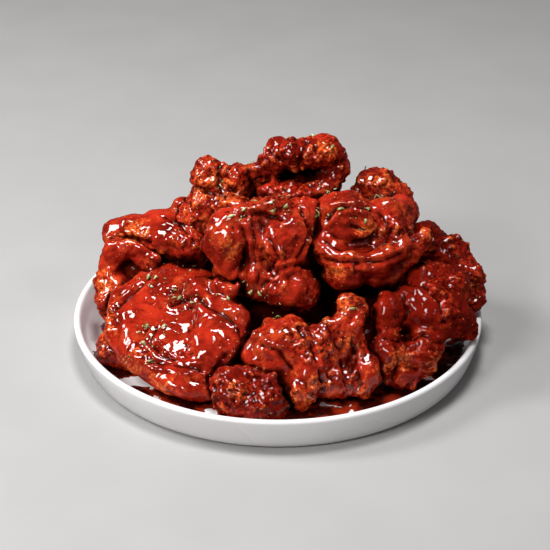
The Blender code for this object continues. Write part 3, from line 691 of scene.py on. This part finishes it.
def bare_spots():
    """The listed spots and some drawn ones round the back of the heap."""
    draw = random.Random(SPOT_SEED)
    spots = list(BARE_SPOTS)
    for _ in range(BACK_SPOTS):
        angle = math.radians(draw.uniform(5.0, 175.0))
        height = draw.uniform(15.0, 95.0)
        reach = (96.0 - 0.72 * height) * draw.uniform(0.9, 1.05)
        x, y = reach * math.cos(angle), 4.0 + reach * math.sin(angle)
        spots.append((x, y, height, draw.uniform(8.0, 13.0)))
    return np.array(spots)


def mark_bare(piece, spots):
    """Keeps for each point how near it is to the middle of a bare spot, from 0 to 1."""
    mesh = piece.data
    points = np.empty(len(mesh.vertices) * 3, np.float32)
    mesh.vertices.foreach_get("co", points)
    points = points.reshape(-1, 3) / MM
    bare = np.zeros(len(points), np.float32)
    for x, y, z, radius in spots:
        away = np.sqrt(((points - (x, y, z)) ** 2).sum(axis=1)) / (radius * 1.25)
        bare = np.maximum(bare, 1.0 - away)
    mesh.attributes.new("bare", "FLOAT", "POINT").data.foreach_set("value", bare.astype(np.float32))


def camera_place():
    """Where the camera stands."""
    pitch = math.radians(VIEW_PITCH)
    back = Vector((0.0, -math.cos(pitch), math.sin(pitch)))
    return Vector(VIEW_TARGET) * MM + back * VIEW_DISTANCE


def thrown_on(heap_tree, across, up):
    """The point of the heap that the camera sees at this place across and up the picture, or None."""
    pitch = math.radians(VIEW_PITCH)
    up_slope = Vector((0.0, math.sin(pitch), math.cos(pitch)))
    aim = Vector(VIEW_TARGET) * MM + Vector((across * MM, 0.0, 0.0)) + up_slope * up * MM
    eye = camera_place()
    return heap_tree.ray_cast(eye, (aim - eye).normalized())[0]


def make_creases(heap):
    """The crease lines as edges that lie on the heap."""
    heap_tree = tree_of(heap)
    bm = bmesh.new()
    for line in CREASES:
        before = None
        for (x0, y0), (x1, y1) in zip(line, line[1:]):
            count = max(1, round(math.hypot(x1 - x0, y1 - y0) / CREASE_STEP))
            for step in range(count + 1):
                t = step / count
                point = thrown_on(heap_tree, x0 + (x1 - x0) * t, y0 + (y1 - y0) * t)
                if point is None:
                    before = None
                    continue
                here = bm.verts.new(point)
                if before is not None and (before.co - point).length < 4 * CREASE_STEP * MM:
                    bm.edges.new((before, here))
                before = here
    return object_from(bm, "crease_lines")


def tree_of(obj):
    """A search tree of the object's faces."""
    bm = bmesh.new()
    bm.from_mesh(obj.data)
    found = BVHTree.FromBMesh(bm)
    bm.free()
    return found


def make_chicken(skin):
    """The chicken pieces, each grown from its solid."""
    tree = crust_tree()
    spots = bare_spots()
    pieces = [rounded_copy(name) for name in PIECE_LOOKS]
    smooth_heap = joined(pieces, "smooth_heap")
    creases = make_creases(smooth_heap)
    for number, (piece, (name, look)) in enumerate(zip(pieces, PIECE_LOOKS.items()), start=1):
        crust, knob_size, knob_height, fold, turn, tone = look
        mark_bare(piece, spots)
        values = {
            "Crust": crust,
            "Knob Size": knob_size,
            "Knob Height": knob_height,
            "Fold Height": fold,
            "Fold Turn": (0.0, math.radians(turn), 0.0),
            "Painted Shade Level": tone,
            "Creases": creases,
            "Neighbours": smooth_heap,
            "Seed": number,
            "Skin": skin,
        }
        grow_from(piece, tree, values)
        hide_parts(name)
        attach(piece, "root")
    discard(smooth_heap)
    discard(creases)
    return pieces


# ---- plate ----


def plate_outline():
    """The plate's outline from the middle of its floor, over the rim and down to its underside."""
    top = PLATE_HEIGHT
    inner = PLATE_RADIUS - RIM_WIDTH
    return [
        (0.0, FLOOR_HEIGHT),
        (FLOOR_RADIUS * 0.6, FLOOR_HEIGHT),
        (FLOOR_RADIUS, FLOOR_HEIGHT),
        (FLOOR_RADIUS + 3.2, FLOOR_HEIGHT + 0.5),
        (inner - 4.0, FLOOR_HEIGHT + 2.4),
        (inner - 2.2, FLOOR_HEIGHT + 5.2),
        (inner - 0.6, top - 3.5),
        (inner + 0.1, top - 1.1),
        (inner + 1.2, top - 0.2),
        (inner + 2.3, top),
        (PLATE_RADIUS - 0.5, top - 0.6),
        (PLATE_RADIUS, top - 2.0),
        (PLATE_RADIUS - 1.3, top * 0.6),
        (FOOT_RADIUS + 3.2, 3.2),
        (FOOT_RADIUS + 1.7, 1.0),
        (FOOT_RADIUS, 0.0),
        (0.0, 0.0),
    ]


def rounded_outline(corners, cuts=4):
    """The outline with more points, on a curve through its corners between the first and last straights."""
    points = [corners[0], corners[1]]
    for i in range(1, len(corners) - 2):
        a, b, c, d = (Vector(corners[j]) for j in (i - 1, i, i + 1, min(i + 2, len(corners) - 1)))
        span = (c - b).length
        start = (c - a).normalized() * span if i > 1 else (c - b)
        end = (d - b).normalized() * span if i < len(corners) - 3 else (c - b)
        for step in range(1, cuts + 1):
            t = step / cuts
            h = (2 * t**3 - 3 * t**2 + 1) * b + (t**3 - 2 * t**2 + t) * start
            h += (-2 * t**3 + 3 * t**2) * c + (t**3 - t**2) * end
            points.append((h.x, h.y))
    points.append(corners[-1])
    return points


def make_plate(glaze):
    """The plate, turned from its outline."""
    bm = bmesh.new()
    verts = [bm.verts.new((x * MM, 0.0, z * MM)) for x, z in rounded_outline(plate_outline())]
    for a, b in zip(verts, verts[1:]):
        bm.edges.new((a, b))
    plate = object_from(bm, "glazed_plate")
    turn = plate.modifiers.new("Turn", "SCREW")
    turn.axis = "Z"
    turn.steps = PLATE_STEPS
    turn.render_steps = PLATE_STEPS
    turn.use_merge_vertices = True
    turn.merge_threshold = 0.00002
    bake(plate)
    plate.data.shade_smooth()
    plate.data.materials.clear()
    plate.data.materials.append(glaze)
    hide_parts("plate")
    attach(plate, "root")


def floor_height(reach):
    """The height of the plate's inside at this distance from its middle."""
    outline = plate_outline()[:8]
    for (r0, z0), (r1, z1) in zip(outline, outline[1:]):
        if reach <= r1:
            return z0 + (z1 - z0) * max(0.0, (reach - r0) / (r1 - r0))
    return outline[-1][1]


# ---- sauce on the plate ----


def sauce_tree():
    """Sauce over a floor: it stands against the pieces and thins out to a ragged edge."""
    inputs = {
        "Pieces": "NodeSocketObject", "Spread": SAUCE_SPREAD, "Depth": SAUCE_DEPTH, "Seed": 3,
        "Sauce": "NodeSocketMaterial",
    }
    tree, given = new_tree("sauce_on_plate", inputs)
    start = add(tree, "GeometryNodeInputPosition").outputs[0]
    target = add(tree, "GeometryNodeObjectInfo", {"Object": given["Pieces"]}).outputs["Geometry"]
    near = add(
        tree, "GeometryNodeProximity", {"Target": target, "Source Position": start}, target_element="FACES"
    ).outputs["Distance"]
    away = maths(tree, "DIVIDE", maths(tree, "DIVIDE", near, MM), given["Spread"])
    pool = maths(tree, "SUBTRACT", 1.0, away)
    place = vector_maths(tree, "ADD", start, add(tree, "ShaderNodeCombineXYZ", {2: given["Seed"]}).outputs[0])
    ragged = noise(tree, place, 20, 3.0, 0.55)
    depth = maths(tree, "MAXIMUM", pool, read(tree, "smear"))
    depth = maths(tree, "MULTIPLY_ADD", ragged, 0.55, depth)
    shape = store(tree, given["Shape"], "depth", depth)
    dry = add(
        tree, "FunctionNodeCompare", {"A": read(tree, "depth"), "B": -SAUCE_EDGE},
        data_type="FLOAT", operation="LESS_THAN",
    ).outputs[0]
    inputs = {"Geometry": shape, "Selection": dry}
    shape = add(tree, "GeometryNodeDeleteGeometry", inputs, domain="POINT").outputs[0]
    # The film dips under the plate's surface at its edge, which draws a smooth outline.
    rise = ramp_between(tree, read(tree, "depth"), 0.0, 1.0, 0.0, given["Depth"])
    sunk = -2.0 * SAUCE_THICKNESS
    edge = ramp_between(tree, read(tree, "depth"), -SAUCE_EDGE, SAUCE_EDGE, sunk, 0.0, smooth=False)
    rise = maths(tree, "MULTIPLY", maths(tree, "ADD", rise, edge), MM)
    lift = add(tree, "ShaderNodeCombineXYZ", {2: rise}).outputs[0]
    shape = add(tree, "GeometryNodeSetPosition", {"Geometry": shape, "Offset": lift}).outputs[0]
    end_tree(tree, shape, given["Sauce"])
    return tree


def make_sauce(pieces_mesh, film):
    """The thin sauce on the plate's inside."""
    bm = bmesh.new()
    reach = PLATE_RADIUS - RIM_WIDTH - 5.0
    count = int(2 * reach / SAUCE_MESH)
    bmesh.ops.create_grid(bm, x_segments=count, y_segments=count, size=reach * MM)
    outside = [vert for vert in bm.verts if vert.co.xy.length > reach * MM]
    bmesh.ops.delete(bm, geom=outside, context="VERTS")
    for vert in bm.verts:
        vert.co.z = (floor_height(vert.co.xy.length / MM) + SAUCE_THICKNESS) * MM
    sauce = object_from(bm, "sauce_on_plate")
    smear = []
    for vert in sauce.data.vertices:
        x, y = vert.co.x / MM, vert.co.y / MM
        smear.append(
            max(1.0 - math.hypot((x - cx) / wide, y - cy) / radius for cx, cy, radius, wide in SMEARS)
        )
    sauce.data.attributes.new("smear", "FLOAT", "POINT").data.foreach_set("value", smear)
    grow_from(sauce, sauce_tree(), {"Pieces": pieces_mesh, "Sauce": film})
    back = sauce.modifiers.new("Thickness", "SOLIDIFY")
    back.thickness = SAUCE_THICKNESS * 0.8 * MM
    back.offset = -1.0
    bake(sauce)
    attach(sauce, "root")


# ---- herbs and crumbs ----


def add_leaf_shape(name, curl, twist, width, collection):
    """A thin pointed leaf one unit long, bent along its length and closed all round."""
    bm = bmesh.new()
    stations = 5
    rings = []
    for i in range(1, stations + 1):
        t = i / (stations + 1)
        half = width * math.sin(math.pi * t) ** 0.8
        middle = Vector((t - 0.5, 0.0, curl * (math.cos(2 * math.pi * t) - 1) * -0.25))
        turn = Matrix.Rotation(twist * (t - 0.5), 3, "X")
        edges = (
            Vector((0, half, 0.10 * half)), Vector((0, 0, 0.05)),
            Vector((0, -half, 0.10 * half)), Vector((0, 0, -0.03)),
        )
        rings.append([bm.verts.new(middle + turn @ edge) for edge in edges])
    first = bm.verts.new((-0.5, 0.0, 0.0))
    last = bm.verts.new((0.5, 0.0, 0.0))
    for k in range(4):
        n = (k + 1) % 4
        bm.faces.new((first, rings[0][k], rings[0][n]))
        bm.faces.new((last, rings[-1][n], rings[-1][k]))
        for a, b in zip(rings, rings[1:]):
            bm.faces.new((a[k], b[k], b[n], a[n]))
    bmesh.ops.recalc_face_normals(bm, faces=bm.faces)
    leaf = object_from(bm, name)
    bpy.context.scene.collection.objects.unlink(leaf)
    collection.objects.link(leaf)


def leaf_shapes():
    """Three leaf shapes: nearly flat, curled and twisted."""
    shapes = bpy.data.collections.new("leaf_shapes")
    add_leaf_shape("leaf_flat", 0.35, 0.6, 0.19, shapes)
    add_leaf_shape("leaf_curled", 1.1, 1.2, 0.24, shapes)
    add_leaf_shape("leaf_twisted", 0.6, 3.0, 0.16, shapes)
    return shapes


def leaf_tree():
    """Lays one leaf at each point, flat on the surface there."""
    inputs = {"Leaves": "NodeSocketCollection", "Seed": 5, "Herb": "NodeSocketMaterial"}
    tree, given = new_tree("herb_leaves", inputs)
    shapes = add(
        tree, "GeometryNodeCollectionInfo", {"Collection": given["Leaves"], "Separate Children": True}
    ).outputs[0]
    flat = add(
        tree, "FunctionNodeAlignRotationToVector", {"Vector": read(tree, "outward", "FLOAT_VECTOR")}, axis="Z"
    ).outputs[0]
    spin = add(tree, "ShaderNodeCombineXYZ", {2: read(tree, "turn")}).outputs[0]
    turned = add(
        tree, "FunctionNodeRotateRotation", {"Rotation": flat, "Rotate By": spin}, rotation_space="LOCAL"
    )
    pick = drawn(tree, 0, 2, given["Seed"], "INT")
    placed = add(
        tree, "GeometryNodeInstanceOnPoints",
        {
            "Points": given["Shape"], "Instance": shapes, "Pick Instance": True, "Instance Index": pick,
            "Rotation": turned.outputs[0], "Scale": read(tree, "size"),
        },
    ).outputs[0]
    end_tree(tree, placed, given["Herb"])
    return tree


def leaf_places(heap_tree):
    """Where the leaves lie: point, way out of the surface, turn and size."""
    pitch = math.radians(SPRINKLE_PITCH)
    up_slope = Vector((0.0, math.sin(pitch), math.cos(pitch)))
    towards = Vector((0.0, math.cos(pitch), -math.sin(pitch)))
    falls = []
    for across, up, turn in FRONT_LEAVES:
        aim = Vector((across, 0.0, HEAP_MIDDLE)) * MM + up_slope * up * MM
        falls.append((aim - towards, towards, turn))
    draw = random.Random(LEAF_SEED)
    for _ in range(BACK_LEAVES):
        angle = math.radians(draw.uniform(-10.0, 190.0))
        reach = draw.uniform(25.0, 88.0)
        start = Vector((reach * math.cos(angle) * MM, reach * math.sin(angle) * MM, 0.5))
        falls.append((start, Vector((0.0, 0.0, -1.0)), draw.uniform(0.0, 180.0)))
    falls = [(start, direction, turn, draw.uniform(0.7, 1.15)) for start, direction, turn in falls]
    for start, direction, turn, _ in list(falls):
        for _ in range(LEAF_BITS):
            aside = Vector([draw.gauss(0.0, 1.0) for _ in range(3)]) * BIT_REACH * MM
            falls.append((start + aside, direction, draw.uniform(0.0, 180.0), draw.uniform(0.25, 0.5)))
    places = []
    for start, direction, turn, size in falls:
        point, normal, _, _ = heap_tree.ray_cast(start, direction)
        if point is not None:
            places.append((point + normal * LEAF_LIFT * MM, normal, math.radians(turn), size))
    return places


def make_leaves(heap, herb):
    """The herb flakes that lie on the heap."""
    places = leaf_places(tree_of(heap))
    mesh = bpy.data.meshes.new("herb_leaves")
    mesh.from_pydata([place[0] for place in places], [], [])
    outward = [value for place in places for value in place[1]]
    mesh.attributes.new("outward", "FLOAT_VECTOR", "POINT").data.foreach_set("vector", outward)
    mesh.attributes.new("turn", "FLOAT", "POINT").data.foreach_set("value", [place[2] for place in places])
    sizes = [place[3] * LEAF_LENGTH * MM for place in places]
    mesh.attributes.new("size", "FLOAT", "POINT").data.foreach_set("value", sizes)
    leaves = link(bpy.data.objects.new("herb_leaves", mesh))
    grow_from(leaves, leaf_tree(), {"Leaves": leaf_shapes(), "Herb": herb})
    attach(leaves, "root")


def add_grain_shape(name, flatness, seed):
    """A tiny uneven grain one unit across."""
    bm = bmesh.new()
    bmesh.ops.create_icosphere(bm, subdivisions=1, radius=0.5)
    draw = random.Random(seed)
    for vert in bm.verts:
        vert.co *= draw.uniform(0.75, 1.2)
        vert.co.z *= flatness
    return object_from(bm, name)


def sprinkle_tree():
    """Scatters grains over the faces that look outwards and up."""
    inputs = {
        "Grain": "NodeSocketObject", "Per Square Metre": 5000.0, "Smallest": 0.4, "Largest": 1.1,
        "Lowest Slope": -0.1, "Seed": 1, "Coat": "NodeSocketMaterial",
    }
    tree, given = new_tree("sprinkle", inputs)
    normal = add(tree, "GeometryNodeInputNormal").outputs[0]
    up = add(tree, "ShaderNodeSeparateXYZ", {"Vector": normal}).outputs["Z"]
    open_sky = add(
        tree, "FunctionNodeCompare", {"A": up, "B": given["Lowest Slope"]},
        data_type="FLOAT", operation="GREATER_THAN",
    ).outputs[0]
    points = add(
        tree, "GeometryNodeDistributePointsOnFaces",
        {
            "Mesh": given["Shape"], "Selection": open_sky, "Density": given["Per Square Metre"],
            "Seed": given["Seed"],
        },
    )
    grain = add(tree, "GeometryNodeObjectInfo", {"Object": given["Grain"]}).outputs["Geometry"]
    seeds = [maths(tree, "ADD", given["Seed"], step) for step in (1, 2, 3)]
    size = drawn(tree, (0.5, 0.35, 0.4), (1.3, 0.8, 0.7), seeds[0], "FLOAT_VECTOR")
    length = drawn(tree, given["Smallest"], given["Largest"], seeds[1], "FLOAT")
    spin = drawn(tree, (-0.4, -0.4, 0.0), (0.4, 0.4, 6.28), seeds[2], "FLOAT_VECTOR")
    turned = add(
        tree, "FunctionNodeRotateRotation", {"Rotation": points.outputs["Rotation"], "Rotate By": spin},
        rotation_space="LOCAL",
    )
    placed = add(
        tree, "GeometryNodeInstanceOnPoints",
        {
            "Points": points.outputs["Points"], "Instance": grain, "Rotation": turned.outputs[0],
            "Scale": scaled(tree, size, maths(tree, "MULTIPLY", length, MM)),
        },
    ).outputs[0]
    end_tree(tree, placed, given["Coat"])
    return tree


def sprinkle(heap, tree, name, grain, coat, values):
    """One kind of grain scattered over the heap."""
    piece = link(bpy.data.objects.new(name, heap.data.copy()))
    grow_from(piece, tree, {"Grain": grain, "Coat": coat, **values})
    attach(piece, "root")


def make_sprinkles(heap, herb, crumb):
    """Specks of herb and crumbs of crust."""
    tree = sprinkle_tree()
    speck = add_grain_shape("speck_shape", 0.4, 2)
    grain = add_grain_shape("crumb_shape", 0.8, 3)
    sprinkle(heap, tree, "herb_specks", speck, herb, SPECKS)
    sprinkle(heap, tree, "fried_crumbs", grain, crumb, CRUMBS)
    discard(speck)
    discard(grain)


# ---- stage ----


def make_stage(paper):
    """The floor, which the glaze doesn't mirror."""
    bm = bmesh.new()
    bmesh.ops.create_grid(bm, x_segments=1, y_segments=1, size=3.0)
    floor = object_from(bm, "floor")
    floor.data.materials.append(paper)
    floor.visible_glossy = False


def add_panel(name, place, side, watts):
    """A soft square lamp that faces the heap."""
    lamp = bpy.data.lights.new(name, "AREA")
    lamp.shape = "RECTANGLE"
    lamp.size = side
    lamp.size_y = side
    lamp.energy = watts
    obj = link(bpy.data.objects.new(name, lamp))
    obj.location = place
    obj.rotation_euler = (Vector(LAMP_AIM) - Vector(place)).to_track_quat("-Z", "Y").to_euler()


def make_light():
    """The lamps and a little light from all round."""
    for name, (place, side, watts) in LAMPS.items():
        add_panel(name, place, side, watts)
    world = bpy.data.worlds.new("studio")
    bpy.context.scene.world = world
    world.use_nodes = True
    world.node_tree.nodes["Background"].inputs["Color"].default_value = (1, 1, 1, 1)
    world.node_tree.nodes["Background"].inputs["Strength"].default_value = ROOM_LIGHT
    bpy.context.scene.view_settings.view_transform = "Standard"


def make_camera():
    """The camera, as the fit to the plate's rim gives it."""
    pitch = math.radians(VIEW_PITCH)
    camera = bpy.data.cameras.new("camera")
    camera.lens = VIEW_LENS
    camera.sensor_width = VIEW_FILM
    camera.clip_start = 0.01
    obj = link(bpy.data.objects.new("camera", camera))
    obj.location = camera_place()
    obj.rotation_euler = (math.pi / 2 - pitch, 0.0, 0.0)
    bpy.context.scene.camera = obj


make_camera()
make_light()
make_stage(stage_paper())
make_plate(plate_glaze())
pieces = make_chicken(glazed_crust())
heap = joined(pieces, "whole_heap")
make_sauce(heap, sauce_film())
herb = herb_leaf()
make_leaves(heap, herb)
make_sprinkles(heap, herb, fried_crumb())
discard(heap)
